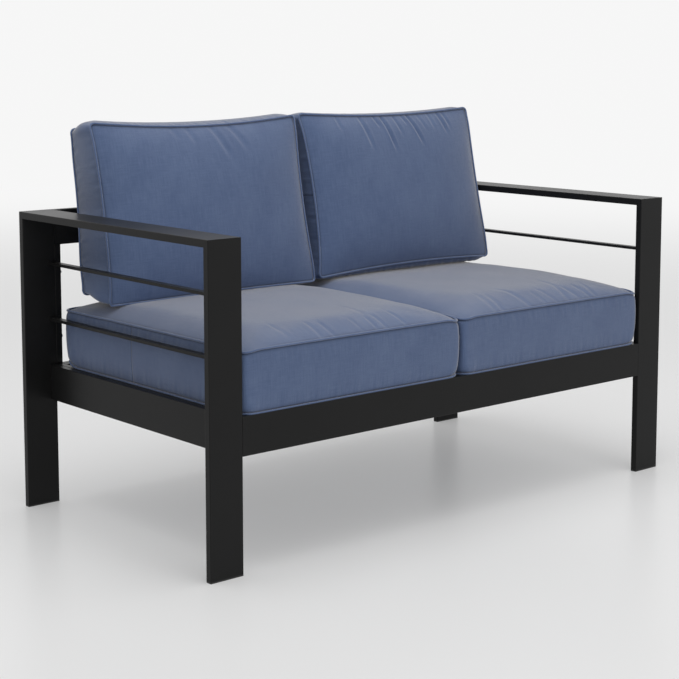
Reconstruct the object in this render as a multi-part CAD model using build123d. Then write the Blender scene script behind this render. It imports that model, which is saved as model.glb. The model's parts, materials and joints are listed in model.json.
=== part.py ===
from build123d import *
import math
import os

# Patio loveseat: two slab-sided arm frames, a seat frame and a back frame bolted
# between them, and four loose box cushions with zipped covers.
# Millimetres. X runs along the seat, Y from front to back, Z up.
# The origin is on the floor, in the middle of the footprint.

# Whole loveseat
overall_width = 1300
overall_depth = 680
arm_height = 640

# Flat steel tube of the legs, armrests and rails
tube_width = 76
tube_thickness = 15
tube_wall = 1.2
tube_corner_radius = 1.5

# Heights of the frames
seat_rail_underside = 228
end_bar_height = 40

# Thin bars that fill the arm frames
arm_bar_height = 6.5
arm_bar_pitch = 121

# Slats of the seat and the back
slat_width = 38
seat_slat_count = 9
back_slat_count = 5

# Plastic glides under the legs
glide_foot_height = 3
glide_plug_height = 12
glide_plug_wall = 2
glide_rib_thickness = 1.6
glide_rib_count = 3
glide_fit_gap = 0.15

# Button-head bolts, washers and rivet nuts
bolt_radius = 3
bolt_length = 25
bolt_head_radius = 5.25
bolt_head_height = 3.3
bolt_socket_across_flats = 4
bolt_socket_depth = 2
bolt_hole_gap = 0.3
thread_gap = 0.05
washer_radius = 6
washer_thickness = 1.2
rivet_nut_radius = 4.5
rivet_nut_length = 12
rivet_nut_bulb_radius = 5.9
rivet_nut_bulb_length = 3
rivet_nut_gap = 0.05
side_bolt_inset = 125
stile_bolt_inset = 60

# Seat cushions
seat_boxing_height = 120
seat_crown = 30
seat_corner_radius = 28
seat_draw_in = 5
seat_front_setback = 0.5
seat_rear_gap = 24.5
seat_side_gap = 2
seat_middle_gap = 2

# Back cushions, whose rear panel leans on the top rail
back_side_gap = 16
back_middle_gap = 12
back_rail_gap = 1
back_front_height = 385
back_rear_height = 355
back_rear_rise = 7
back_boxing_depth = 100
back_front_lean = 11.4
back_rear_lean = 8.6
back_front_crown = 26
back_rear_crown = 50
back_corner_radius = 18
back_draw_in = 8

# Covers, cores and zips
rest_gap = 0.3
cover_thickness = 1.5
zip_corner_gap = 18
zip_tape_width = 24
zip_tape_thickness = 1.2
zip_coil_width = 4.6
zip_coil_height = 1.6
zip_stop_length = 4
zip_stop_height = 2.6
slider_length = 13
slider_width = 9.5
slider_height = 3.6
slider_corner_radius = 2.5
slider_edge_radius = 1.25
slider_end_gap = 2

# A cutter runs this far past the faces that it opens
cut_overrun = 5

# Places that follow from the sizes above
half_width = overall_width / 2
half_depth = overall_depth / 2
inner_half_width = half_width - tube_width
inner_half_depth = half_depth - tube_thickness
leg_x = half_width - tube_width / 2
leg_y = half_depth - tube_thickness / 2
seat_rail_centre = seat_rail_underside + tube_width / 2
deck_height = seat_rail_underside + tube_width
armrest_underside = arm_height - tube_thickness
back_rail_centre = arm_height - tube_width / 2
back_rail_underside = arm_height - tube_width
side_rail_x = inner_half_width + tube_thickness / 2
end_bar_x = inner_half_width - tube_thickness / 2
end_bar_centre = deck_height - end_bar_height / 2
seat_clear_half_width = inner_half_width - tube_thickness
rear_bar_y = inner_half_depth - tube_thickness / 2
seat_slat_pitch = 2 * seat_clear_half_width / (seat_slat_count + 1)
back_slat_pitch = 2 * seat_clear_half_width / (back_slat_count + 1)
seat_cushion_width = inner_half_width - seat_side_gap - seat_middle_gap / 2
seat_cushion_depth = half_depth + inner_half_depth - seat_front_setback - seat_rear_gap
back_cushion_width = inner_half_width - back_side_gap - back_middle_gap / 2

sides = {"left": -1, "right": 1}
along_x = Rotation(0, 90, 0)
along_y = Rotation(-90, 0, 0)


def save(shape, node):
    """Write one node's solids."""
    export_step(shape, f"parts/{node}.step")


def flat_tube(across, through, length):
    """Hollow tube along Z, with its lower end at the origin."""
    skin = RectangleRounded(across, through, tube_corner_radius)
    bore = Rectangle(across - 2 * tube_wall, through - 2 * tube_wall)
    return extrude(skin - bore, length)


def drilled(shape, frames, radius, depth):
    """Bore a round hole into a shape at each frame, along the frame's own -Z."""
    for frame in frames:
        drill = Cylinder(radius, depth + cut_overrun, align=(Align.CENTER, Align.CENTER, Align.MAX))
        shape = shape - frame.location * Pos(0, 0, cut_overrun) * drill
    return shape


def mitre_plane(end):
    """Plane at 45 degrees through the top corner of an arm frame; end is -1 front, 1 rear."""
    return Plane(origin=(0, end * half_depth, arm_height), x_dir=(1, 0, 0), z_dir=(0, -end, 1))


# Fastener frames: origin on the face that the washer sits on, Z out of that face.
# The rear bolts sit this many slat pitches from the middle, between two slats.
rear_bolt_slat_share = 2.5


def side_bolt_frames(side):
    """Bolts through a seat end bar into the side rail beside it."""
    x = side * seat_clear_half_width
    places = (-inner_half_depth + side_bolt_inset, inner_half_depth - side_bolt_inset)
    return [Plane(origin=(x, y, end_bar_centre), x_dir=(0, 1, 0), z_dir=(-side, 0, 0)) for y in places]


def stile_bolt_frames(side):
    """Bolts through a back stile into the rear leg beside it."""
    x = side * seat_clear_half_width
    places = (deck_height + stile_bolt_inset, back_rail_underside - stile_bolt_inset)
    return [Plane(origin=(x, leg_y, z), x_dir=(0, 1, 0), z_dir=(-side, 0, 0)) for z in places]


def rear_bolt_frames():
    """Bolts through the seat's rear bar into the rear rail."""
    y = inner_half_depth - tube_thickness
    place = rear_bolt_slat_share * seat_slat_pitch
    return [Plane(origin=(x, y, end_bar_centre), x_dir=(1, 0, 0), z_dir=(0, -1, 0)) for x in (-place, place)]


def nut_frames(frames):
    """Move fastener frames through the first tube to the face of the second one."""
    return [frame.offset(-tube_thickness) for frame in frames]


# Arm frames
bolt_hole_radius = bolt_radius + bolt_hole_gap
nut_hole_radius = rivet_nut_radius + rivet_nut_gap


def leg(side, end):
    """Upright of an arm frame, mitred at the top; end is -1 front, 1 rear."""
    tube = flat_tube(tube_width, tube_thickness, arm_height - glide_foot_height)
    tube = Pos(side * leg_x, end * leg_y, glide_foot_height) * tube
    tube = split(tube, bisect_by=mitre_plane(end), keep=Keep.BOTTOM)
    if end > 0:
        tube = drilled(tube, nut_frames(stile_bolt_frames(side)), nut_hole_radius, 2 * tube_wall)
    return tube


def armrest(side):
    """Flat top of an arm frame, mitred to both legs."""
    tube = flat_tube(tube_width, tube_thickness, overall_depth)
    tube = Pos(side * leg_x, -half_depth, arm_height - tube_thickness / 2) * along_y * tube
    for end in (-1, 1):
        tube = split(tube, bisect_by=mitre_plane(end), keep=Keep.TOP)
    return tube


def side_rail(side):
    """Rail between the legs of one arm frame, level with the seat."""
    tube = flat_tube(tube_thickness, tube_width, 2 * inner_half_depth)
    tube = Pos(side * side_rail_x, -inner_half_depth, seat_rail_centre) * along_y * tube
    return drilled(tube, nut_frames(side_bolt_frames(side)), nut_hole_radius, 2 * tube_wall)


def arm_bar(side, level):
    """Thin flat bar between the legs; level is -1 lower, 1 upper."""
    centre = (deck_height + armrest_underside) / 2 + level * arm_bar_pitch / 2
    return Pos(side * side_rail_x, 0, centre) * Box(tube_thickness, 2 * inner_half_depth, arm_bar_height)


def foot_glide(side, end):
    """Plastic glide: a foot plate with a ribbed plug pushed up into the leg."""
    plug_width = tube_width - 2 * tube_wall - 2 * glide_fit_gap
    plug_depth = tube_thickness - 2 * tube_wall - 2 * glide_fit_gap
    foot = extrude(RectangleRounded(tube_width, tube_thickness, tube_corner_radius), glide_foot_height)
    wall = Rectangle(plug_width, plug_depth)
    wall = wall - Rectangle(plug_width - 2 * glide_plug_wall, plug_depth - 2 * glide_plug_wall)
    plug = Pos(0, 0, glide_foot_height) * extrude(wall, glide_plug_height)
    rib = extrude(Rectangle(glide_rib_thickness, plug_depth), glide_plug_height)
    pitch = plug_width / (glide_rib_count + 1)
    glide = foot + plug
    for number in range(glide_rib_count):
        glide = glide + Pos((number + 1) * pitch - plug_width / 2, 0, glide_foot_height) * rib
    return Pos(side * leg_x, end * leg_y, 0) * glide


# Seat frame
def front_rail():
    """Rail across the front, flush with the legs."""
    tube = flat_tube(tube_width, tube_thickness, 2 * inner_half_width)
    return Pos(-inner_half_width, -leg_y, seat_rail_centre) * along_x * tube


def seat_end_bar(side):
    """Bar of the seat frame that bolts to a side rail."""
    tube = flat_tube(tube_thickness, end_bar_height, 2 * inner_half_depth)
    tube = Pos(side * end_bar_x, -inner_half_depth, end_bar_centre) * along_y * tube
    return drilled(tube, side_bolt_frames(side), bolt_hole_radius, tube_thickness + cut_overrun)


def seat_rear_bar():
    """Bar of the seat frame that carries the slats' rear ends."""
    tube = flat_tube(end_bar_height, tube_thickness, 2 * seat_clear_half_width)
    tube = Pos(-seat_clear_half_width, rear_bar_y, end_bar_centre) * along_x * tube
    return drilled(tube, rear_bolt_frames(), bolt_hole_radius, tube_thickness + cut_overrun)


def seat_slat(number):
    """One front-to-back slat, flush with the top of the rails."""
    tube = flat_tube(slat_width, tube_thickness, 2 * inner_half_depth - tube_thickness)
    x = (number + 1) * seat_slat_pitch - seat_clear_half_width
    return Pos(x, -inner_half_depth, deck_height - tube_thickness / 2) * along_y * tube


# Back frame
def back_rail(centre_height):
    """Rail between the rear legs."""
    tube = flat_tube(tube_width, tube_thickness, 2 * inner_half_width)
    return Pos(-inner_half_width, leg_y, centre_height) * along_x * tube


def back_upright(x, width):
    """Upright tube between the two rear rails."""
    tube = flat_tube(width, tube_thickness, back_rail_underside - deck_height)
    return Pos(x, leg_y, deck_height) * tube


def back_stile(side):
    """Outermost upright, which bolts to a rear leg."""
    tube = back_upright(side * end_bar_x, tube_thickness)
    return drilled(tube, stile_bolt_frames(side), bolt_hole_radius, tube_thickness + cut_overrun)


# Fasteners, each made along Z with its seat at the origin
def frame_bolt():
    """Button-head bolt standing on its washer, with a hexagon socket."""
    head_profile = make_face([
        Line((0, 0), (bolt_head_radius, 0)),
        ThreePointArc(
            (bolt_head_radius, 0),
            (bolt_head_radius * math.sin(math.pi / 4), bolt_head_height * math.cos(math.pi / 4)),
            (0, bolt_head_height),
        ),
        Line((0, bolt_head_height), (0, 0)),
    ])
    head = revolve(Plane.XZ * head_profile, Axis.Z)
    socket = extrude(RegularPolygon(bolt_socket_across_flats / 2, 6, major_radius=False), cut_overrun)
    head = head - Pos(0, 0, bolt_head_height - bolt_socket_depth) * socket
    shank = Cylinder(bolt_radius, bolt_length, align=(Align.CENTER, Align.CENTER, Align.MAX))
    return Pos(0, 0, washer_thickness) * (head + shank)


def frame_washer():
    """Plain washer under a bolt head."""
    ring = Circle(washer_radius) - Circle(bolt_hole_radius)
    return extrude(ring, washer_thickness)


def rivet_nut():
    """Rivet nut set in a tube wall, with the bulb that clamps it behind the wall."""
    body = extrude(Circle(rivet_nut_radius), -rivet_nut_length)
    bulb = Pos(0, 0, -tube_wall) * extrude(Circle(rivet_nut_bulb_radius), -rivet_nut_bulb_length)
    bore = Cylinder(bolt_radius + thread_gap, 2 * rivet_nut_length + cut_overrun)
    return body + bulb - bore


def placed(piece, frames):
    """A group of equal solids, one at each frame."""
    return Compound(children=[frame.location * piece for frame in frames])


# Cushion outlines and forms. A panel outline has straight or drawn-in sides.
crown_inset_shares = (0, 0.10, 0.27, 0.50, 0.76)
crown_rise_shares = (0, 0.40, 0.74, 0.94, 1)
crown_corner_share = 0.45
crown_bow_share = 0.06


def panel_outline(width, height, corner, pulls):
    """Rounded panel centred on the origin; pulls draw in the bottom, right, top and left sides."""
    x = width / 2
    y = height / 2
    bend = corner * (1 - math.sqrt(1 / 2))
    sides_run = [
        ((corner - x, -y), (0, pulls[0] - y), (x - corner, -y), (x - bend, bend - y)),
        ((x, corner - y), (x - pulls[1], 0), (x, y - corner), (x - bend, y - bend)),
        ((x - corner, y), (0, y - pulls[2]), (corner - x, y), (bend - x, y - bend)),
        ((-x, y - corner), (pulls[3] - x, 0), (-x, corner - y), (bend - x, bend - y)),
    ]
    edges = []
    for index, (start, middle, end, corner_middle) in enumerate(sides_run):
        following = sides_run[(index + 1) % len(sides_run)][0]
        if pulls[index] == 0:
            edges.append(Line(start, end))
        else:
            edges.append(ThreePointArc(start, middle, end))
        edges.append(ThreePointArc(end, corner_middle, following))
    return make_face(edges)


def crown_form(plane, width, height, corner, pulls, crown):
    """Domed filling over a panel: rings that shrink and round off as they rise along the plane's Z."""
    reach = min(width, height) / 2
    rings = []
    for inset_share, rise_share in zip(crown_inset_shares, crown_rise_shares):
        inset = inset_share * reach
        ring_width = width - 2 * inset
        ring_height = height - 2 * inset
        ring_corner = max(corner, crown_corner_share * inset_share * min(ring_width, ring_height))
        bow = inset_share * crown_bow_share * min(ring_width, ring_height)
        ring_pulls = [pull * (1 - inset_share) - bow for pull in pulls]
        ring_corner = min(ring_corner, crown_corner_share * min(ring_width, ring_height))
        ring = panel_outline(ring_width, ring_height, ring_corner, ring_pulls)
        rings.append(plane.offset(rise_share * crown).location * ring)
    return loft(rings)


def cushion_form(front, rear, corner, pulls, shrink):
    """Box cushion between two panels, each given as plane, width, height and crown.

    Both planes face forward, and shrink moves every face inward by that much.
    """
    outlines = []
    crowns = []
    for (plane, width, height, crown), turn in ((front, 1), (rear, -1)):
        inner_plane = plane.offset(-turn * shrink)
        inner_width = width - 2 * shrink
        inner_height = height - 2 * shrink
        inner_corner = corner - shrink
        outline = panel_outline(inner_width, inner_height, inner_corner, pulls)
        outlines.append(inner_plane.location * outline)
        if crown > 0:
            shape = crown_form(Plane.XY, inner_width, inner_height, inner_corner, pulls, crown)
            if turn < 0:
                shape = mirror(shape, about=Plane.XY)
            crowns.append(inner_plane.location * shape)
    form = loft(outlines, ruled=True)
    for shape in crowns:
        form = form + shape
    return form


seat_pulls = (seat_draw_in, seat_draw_in, 0, seat_draw_in)
back_pulls = (0, back_draw_in, back_draw_in, back_draw_in)


def seat_panels(side):
    """Top and bottom panels of a seat cushion, and the frame of its rear zip."""
    x = side * (seat_middle_gap + seat_cushion_width) / 2
    y = seat_cushion_depth / 2 + seat_front_setback - half_depth
    bottom = deck_height + rest_gap
    top_plane = Plane(origin=(x, y, bottom + seat_boxing_height))
    bottom_plane = Plane(origin=(x, y, bottom))
    zip_frame = Plane(
        origin=(x, y + seat_cushion_depth / 2, bottom + seat_boxing_height / 2),
        x_dir=(-1, 0, 0),
        z_dir=(0, 1, 0),
    )
    front = (top_plane, seat_cushion_width, seat_cushion_depth, seat_crown)
    rear = (bottom_plane, seat_cushion_width, seat_cushion_depth, 0)
    return front, rear, zip_frame


def reach_at_rail(centre_z, lean):
    """How far the rear crown stands behind its panel's centre, between the top rail's edges."""
    profile = []
    for end in (-1, 1):
        for inset_share, rise_share in list(zip(crown_inset_shares, crown_rise_shares))[::end]:
            along = -end * (1 - inset_share) * back_rear_height / 2
            out = rise_share * back_rear_crown
            z = centre_z + along * math.cos(lean) - out * math.sin(lean)
            profile.append((z, along * math.sin(lean) + out * math.cos(lean)))
    rail_band = Pos(back_rail_centre, 0) * Rectangle(tube_width, overall_depth)
    touching = make_face(Polyline(*profile, close=True)) & rail_band
    return touching.bounding_box().max.Y


def back_panels(side):
    """Front and rear panels of a back cushion, and the frame of the zip in its lower boxing."""
    x = side * (back_cushion_width + back_middle_gap) / 2
    front_lean = math.radians(back_front_lean)
    rear_lean = math.radians(back_rear_lean)
    seat_top = deck_height + rest_gap + seat_boxing_height + seat_crown
    front_bottom = seat_top + rest_gap
    rear_bottom = front_bottom + back_rear_rise
    rear_z = rear_bottom + back_rear_height / 2 * math.cos(rear_lean)
    rear_y = inner_half_depth - back_rail_gap - reach_at_rail(rear_z, rear_lean)
    front_z = front_bottom + back_front_height / 2 * math.cos(front_lean)
    front_y = rear_y - back_boxing_depth
    front_normal = (0, -math.cos(front_lean), math.sin(front_lean))
    rear_normal = (0, -math.cos(rear_lean), math.sin(rear_lean))
    front_plane = Plane(origin=(x, front_y, front_z), x_dir=(1, 0, 0), z_dir=front_normal)
    rear_plane = Plane(origin=(x, rear_y, rear_z), x_dir=(1, 0, 0), z_dir=rear_normal)
    front_edge_y = front_y - back_front_height / 2 * math.sin(front_lean)
    rear_edge_y = rear_y - back_rear_height / 2 * math.sin(rear_lean)
    zip_frame = Plane(
        origin=(x, (front_edge_y + rear_edge_y) / 2, (front_bottom + rear_bottom) / 2),
        x_dir=(1, 0, 0),
        z_dir=(0, rear_bottom - front_bottom, front_edge_y - rear_edge_y),
    )
    front = (front_plane, back_cushion_width, back_front_height, back_front_crown)
    rear = (rear_plane, back_cushion_width, back_rear_height, back_rear_crown)
    return front, rear, zip_frame


def cushion_cover(front, rear, corner, pulls, zip_place, zip_length):
    """Sewn cover: a closed skin with a slot for the zip."""
    skin = cushion_form(front, rear, corner, pulls, 0)
    hollow = cushion_form(front, rear, corner, pulls, cover_thickness)
    slot = Box(zip_length + 2 * rest_gap, zip_tape_width + 2 * rest_gap, 2 * cover_thickness)
    return skin - hollow - zip_place * slot


def cushion_core(front, rear, corner, pulls):
    """Foam and fibre filling inside the cover."""
    return cushion_form(front, rear, corner, pulls, cover_thickness + rest_gap)


def half_round(width, height, length):
    """Low rounded ridge along X, standing on the origin's XY plane."""
    profile = make_face([
        Line((-width / 2, 0), (width / 2, 0)),
        ThreePointArc((width / 2, 0), (0, height), (-width / 2, 0)),
    ])
    return Plane.YZ.offset(-length / 2).location * extrude(profile, length)


def cover_zip(length):
    """Closed zip: two tapes seen as one strip, the coil along their middle and a stop at each end."""
    tape = Pos(0, 0, -zip_tape_thickness / 2) * Box(length, zip_tape_width, zip_tape_thickness)
    coil = half_round(zip_coil_width, zip_coil_height, length)
    stop = extrude(Rectangle(zip_stop_length, zip_coil_width), zip_stop_height)
    strip = tape + coil
    for end in (-1, 1):
        strip = strip + Pos(end * (length - zip_stop_length) / 2, 0, 0) * stop
    return strip


def zip_slider():
    """Slider without a pull: a low domed body that straddles the coil."""
    outline = RectangleRounded(slider_length, slider_width, slider_corner_radius)
    body = Pos(0, 0, rest_gap) * extrude(outline, slider_height)
    channel_width = zip_coil_width + 2 * rest_gap
    channel = half_round(channel_width, zip_coil_height + rest_gap, slider_length + cut_overrun)
    top_edges = body.edges().group_by(Axis.Z)[-1]
    body = fillet(top_edges, slider_edge_radius)
    return body - channel


os.makedirs("parts", exist_ok=True)

all_bolt_frames = rear_bolt_frames()

for side_name, side in sides.items():
    for end_name, end in {"front": -1, "rear": 1}.items():
        save(leg(side, end), f"{side_name}_{end_name}_leg")
        save(foot_glide(side, end), f"{side_name}_{end_name}_foot_glide")
    save(armrest(side), f"{side_name}_armrest")
    save(side_rail(side), f"{side_name}_side_rail")
    save(arm_bar(side, 1), f"{side_name}_upper_arm_bar")
    save(arm_bar(side, -1), f"{side_name}_lower_arm_bar")
    save(seat_end_bar(side), f"{side_name}_seat_end_bar")
    save(back_stile(side), f"{side_name}_back_stile")
    all_bolt_frames += side_bolt_frames(side) + stile_bolt_frames(side)

save(front_rail(), "front_rail")
save(seat_rear_bar(), "seat_rear_bar")
save(back_rail(back_rail_centre), "back_top_rail")
rear_rail = back_rail(seat_rail_centre)
save(drilled(rear_rail, nut_frames(rear_bolt_frames()), nut_hole_radius, 2 * tube_wall), "rear_rail")
for number in range(seat_slat_count):
    save(seat_slat(number), f"seat_slat_{number + 1}")
for number in range(back_slat_count):
    slat_x = (number + 1) * back_slat_pitch - seat_clear_half_width
    save(back_upright(slat_x, slat_width), f"back_slat_{number + 1}")

save(placed(frame_bolt(), all_bolt_frames), "frame_bolts")
save(placed(frame_washer(), all_bolt_frames), "frame_washers")
save(placed(rivet_nut(), nut_frames(all_bolt_frames)), "rivet_nuts")

for side_name, side in sides.items():
    for kind, panels, width, corner, pulls in (
        ("seat", seat_panels(side), seat_cushion_width, seat_corner_radius, seat_pulls),
        ("back", back_panels(side), back_cushion_width, back_corner_radius, back_pulls),
    ):
        front, rear, zip_frame = panels
        zip_place = zip_frame.location
        zip_length = width - 2 * (corner + zip_corner_gap)
        slider_rest = (zip_length - slider_length) / 2 - zip_stop_length - slider_end_gap
        name = f"{side_name}_{kind}_cushion"
        save(cushion_cover(front, rear, corner, pulls, zip_place, zip_length), f"{name}_cover")
        save(cushion_core(front, rear, corner, pulls), f"{name}_core")
        save(zip_place * cover_zip(zip_length), f"{name}_zip")
        save(zip_place * Pos(slider_rest, 0, 0) * zip_slider(), f"{name}_zip_slider")
        print(name, "slider travel", 2 * slider_rest)
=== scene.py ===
# %% [markdown]
# # A patio loveseat, dressed
# The loveseat's metal frame, zips and screws come from CAD, and stay exactly where they are.
# What CAD can't give is the softness: four cushions that bulge, pucker and catch the light, and
# the powder coat on the steel. This lesson makes those, one step at a time.

import json
import math

import bpy
import numpy as np
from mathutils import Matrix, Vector


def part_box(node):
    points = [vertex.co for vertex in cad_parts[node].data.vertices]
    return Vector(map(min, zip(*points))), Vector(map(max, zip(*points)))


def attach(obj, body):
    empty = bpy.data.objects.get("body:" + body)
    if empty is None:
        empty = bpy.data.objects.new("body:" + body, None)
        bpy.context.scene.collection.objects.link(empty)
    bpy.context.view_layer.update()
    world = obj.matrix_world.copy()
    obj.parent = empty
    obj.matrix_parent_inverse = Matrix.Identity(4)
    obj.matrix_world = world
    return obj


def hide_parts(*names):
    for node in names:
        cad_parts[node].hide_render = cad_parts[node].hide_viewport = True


MM = 0.001

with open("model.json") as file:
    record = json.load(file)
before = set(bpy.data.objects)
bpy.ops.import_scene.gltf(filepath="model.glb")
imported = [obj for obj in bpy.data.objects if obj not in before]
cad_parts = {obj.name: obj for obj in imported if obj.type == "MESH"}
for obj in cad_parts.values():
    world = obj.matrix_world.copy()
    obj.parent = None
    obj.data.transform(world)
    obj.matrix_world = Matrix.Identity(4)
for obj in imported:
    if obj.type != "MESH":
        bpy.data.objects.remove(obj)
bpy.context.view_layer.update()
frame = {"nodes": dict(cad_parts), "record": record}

# %% [markdown]
# ## The camera
# The photograph was taken from the front left, a little above the armrests. Its upright lines stay
# nearly parallel, as product photographers like it. Tilting a camera down makes them run
# together, and shifting its lens doesn't. So a part of the framing comes from a small lens shift,
# and the rest from tilt, which keeps the loveseat whole when the camera walks round it.

# %% Place the camera
camera_place = Vector((-2.3402, -2.6773, 0.9824))
camera_yaw = 40.591
camera_tilt = 6.699

camera_data = bpy.data.cameras.new("camera")
camera_data.sensor_width = 36
camera_data.lens = 85.27
camera_data.shift_y = -0.15
camera = bpy.data.objects.new("camera", camera_data)
camera.location = camera_place
camera.rotation_euler = (math.radians(90 - camera_tilt), 0, math.radians(-camera_yaw))
bpy.context.scene.collection.objects.link(camera)
bpy.context.scene.camera = camera
print("camera at", [round(x, 3) for x in camera_place], "lens", camera_data.lens)

# %% [markdown]
# ## Wiring materials
# A material is a small network of nodes. Building one in code goes wrong most easily in the
# links, so two helpers do the wiring: `add` makes a node and fills its sockets, and takes either a
# plain number or another node's output for each one. Effects that several materials share are made
# as groups, with `new_group`, which names what goes in and what comes out.

# %% Helpers for nodes


def add(tree, kind, inputs=None, **settings):
    """Make a node, set its properties and fill its sockets with numbers or with other outputs."""
    node = tree.nodes.new(kind)
    for name, value in settings.items():
        setattr(node, name, value)
    for name, value in (inputs or {}).items():
        socket = node.inputs[name]
        if isinstance(value, bpy.types.NodeSocket):
            tree.links.new(value, socket)
        else:
            socket.default_value = value
    return node


def sum_of(tree, kind, *values):
    """One maths node, such as ADD or MULTIPLY, on numbers or outputs."""
    return add(tree, "ShaderNodeMath", dict(enumerate(values)), operation=kind).outputs[0]


def new_group(name, inputs, outputs):
    """A node group with named sockets. Returns its tree, its input sockets and its output node."""
    tree = bpy.data.node_groups.new(name, "ShaderNodeTree")
    for socket_name, kind, value in inputs:
        socket = tree.interface.new_socket(socket_name, in_out="INPUT", socket_type=kind)
        if value is not None:
            socket.default_value = value
    for socket_name, kind in outputs:
        tree.interface.new_socket(socket_name, in_out="OUTPUT", socket_type=kind)
    given = tree.nodes.new("NodeGroupInput")
    result = tree.nodes.new("NodeGroupOutput")
    return tree, given.outputs, result.inputs


def put_group(tree, group, inputs):
    """Place a group in a material, with this material's own values."""
    return add(tree, "ShaderNodeGroup", inputs, node_tree=group).outputs


def blended(tree, share, first, second):
    """A colour between two others."""
    return add(tree, "ShaderNodeMix", {"Factor": share, 6: first, 7: second}, data_type="RGBA").outputs[2]


def dimmed(tree, colour, share):
    """A colour made darker or lighter by a share."""
    return add(tree, "ShaderNodeVectorMath", {0: colour, "Scale": share}, operation="SCALE").outputs[0]


def object_place(tree):
    """Where a point lies on its own piece, in metres."""
    return add(tree, "ShaderNodeTexCoord").outputs["Object"]


def noise(tree, place, scale, detail):
    """Plain noise, between 0 and 1."""
    return add(tree, "ShaderNodeTexNoise", {"Vector": place, "Scale": scale, "Detail": detail}).outputs["Fac"]


def new_material(name, **constants):
    """A material with one Principled shader, whose plain numbers are set on its own sockets."""
    material = bpy.data.materials.new(name)
    material.use_nodes = True
    shader = material.node_tree.nodes["Principled BSDF"]
    for socket, value in constants.items():
        shader.inputs[socket.replace("_", " ")].default_value = value
    return material, material.node_tree, shader


print("helpers ready")

# %% [markdown]
# ## The studio
# A studio photograph hides the line between floor and wall with a curved sheet of paper. Here the
# floor does it alone: it is a plain pale disc that, far from the loveseat, turns into a soft glow
# as bright as the wall would be. The glow is only for the eye of the camera and for reflections.
# For all other rays the floor is ordinary paper, so it adds no light to the object. Close by, it
# glows a little too, as a light table does, which keeps the shadow soft and pale. The disc is
# slightly glossy, and so the legs stand on a faint mirror image.

# %% Floor that fades into the wall
wall_white = 0.925
table_white = 0.76
table_share = 0.3
fade_starts, fade_ends = 2.0, 8.8
fade_centre = (-0.8, -0.3, -0.0004)
paper_white = 0.83
floor_radius = 60


def seen_directly(tree):
    """1 for rays from the camera and for mirrored ones, 0 for the rest."""
    path = add(tree, "ShaderNodeLightPath").outputs
    return sum_of(tree, "MAXIMUM", path["Is Camera Ray"], path["Is Glossy Ray"])


def plain_glow(tree, level):
    """An even glow of one grey."""
    return add(tree, "ShaderNodeEmission", {"Color": (level, level, level, 1)}).outputs[0]


floor_material, tree, shader = new_material("studio_floor", Roughness=0.3, Specular_IOR_Level=0.16)
shader.inputs["Base Color"].default_value = (paper_white, paper_white, paper_white, 1)
distance = add(tree, "ShaderNodeVectorMath", {0: object_place(tree)}, operation="LENGTH").outputs["Value"]
fade = add(
    tree,
    "ShaderNodeMapRange",
    {"Value": distance, "From Min": fade_starts, "From Max": fade_ends},
    interpolation_type="SMOOTHERSTEP",
).outputs[0]
direct = seen_directly(tree)
table = sum_of(tree, "MULTIPLY", direct, table_share)
table_glow = plain_glow(tree, table_white)
lit = add(tree, "ShaderNodeMixShader", {0: table, 1: shader.outputs[0], 2: table_glow}).outputs[0]
share = sum_of(tree, "MULTIPLY", fade, direct)
blend = add(tree, "ShaderNodeMixShader", {0: share, 1: lit, 2: plain_glow(tree, wall_white)}).outputs[0]
tree.links.new(blend, tree.nodes["Material Output"].inputs["Surface"])

disc = bpy.data.meshes.new("studio_floor")
turns = np.linspace(0, 2 * math.pi, 96, endpoint=False)
rim = [(floor_radius * math.cos(a), floor_radius * math.sin(a), 0) for a in turns]
disc.from_pydata(rim, [], [list(range(len(rim)))])
disc.materials.append(floor_material)
floor = bpy.data.objects.new("studio_floor", disc)
floor.location = fade_centre
bpy.context.scene.collection.objects.link(floor)
print("floor fades from", fade_starts, "to", fade_ends, "m")

# %% [markdown]
# ## The light
# The shadow in the photograph is soft and lies almost straight under the seat, a little to the
# right. So the main light is a big softbox overhead and to the left, with a weaker one in front.
# The rest is daylight from all round, which is the world: strongest from above and the front,
# weakest from the left, where the cushions' sides are darker. Together they light a white
# sheet to about white, so colours come out as they are written.

# %% World and lamps
daylight = 0.46
more_from = {"above": 0.3, "behind": -0.16, "right": 0.14}
world = bpy.data.worlds.new("daylight")
bpy.context.scene.world = world
world.use_nodes = True
tree = world.node_tree
tree.nodes.clear()
direct = seen_directly(tree)
sky = add(tree, "ShaderNodeSeparateXYZ", {0: add(tree, "ShaderNodeTexCoord").outputs["Generated"]}).outputs
from_above = sum_of(tree, "MULTIPLY", sky["Z"], more_from["above"])
from_behind = sum_of(tree, "MULTIPLY", sky["Y"], more_from["behind"])
from_right = sum_of(tree, "MULTIPLY", sky["X"], more_from["right"])
even = sum_of(tree, "ADD", from_right, daylight)
strength = sum_of(tree, "ADD", sum_of(tree, "ADD", from_above, from_behind), even)
around = add(tree, "ShaderNodeBackground", {"Color": (1.0, 1.0, 1.0, 1), "Strength": strength}).outputs[0]
shown = add(tree, "ShaderNodeBackground", {"Color": (wall_white, wall_white, wall_white, 1)}).outputs[0]
mixed = add(tree, "ShaderNodeMixShader", {0: direct, 1: around, 2: shown}).outputs[0]
add(tree, "ShaderNodeOutputWorld", {"Surface": mixed})
bpy.context.scene.view_settings.view_transform = "Standard"


def softbox(name, place, aim, size, power):
    """A square area light that looks at a point."""
    data = bpy.data.lights.new(name, "AREA")
    data.shape = "SQUARE"
    data.size = size
    data.energy = power
    lamp = bpy.data.objects.new(name, data)
    lamp.location = place
    lamp.rotation_euler = (Vector(aim) - Vector(place)).to_track_quat("-Z", "Y").to_euler()
    bpy.context.scene.collection.objects.link(lamp)
    return lamp


softbox("overhead_softbox", (-0.5, -0.25, 3.0), (0, 0, 0.3), 2.2, 34)
softbox("front_softbox", (0.4, -4.2, 2.0), (0, 0, 0.45), 2.0, 14)

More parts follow.
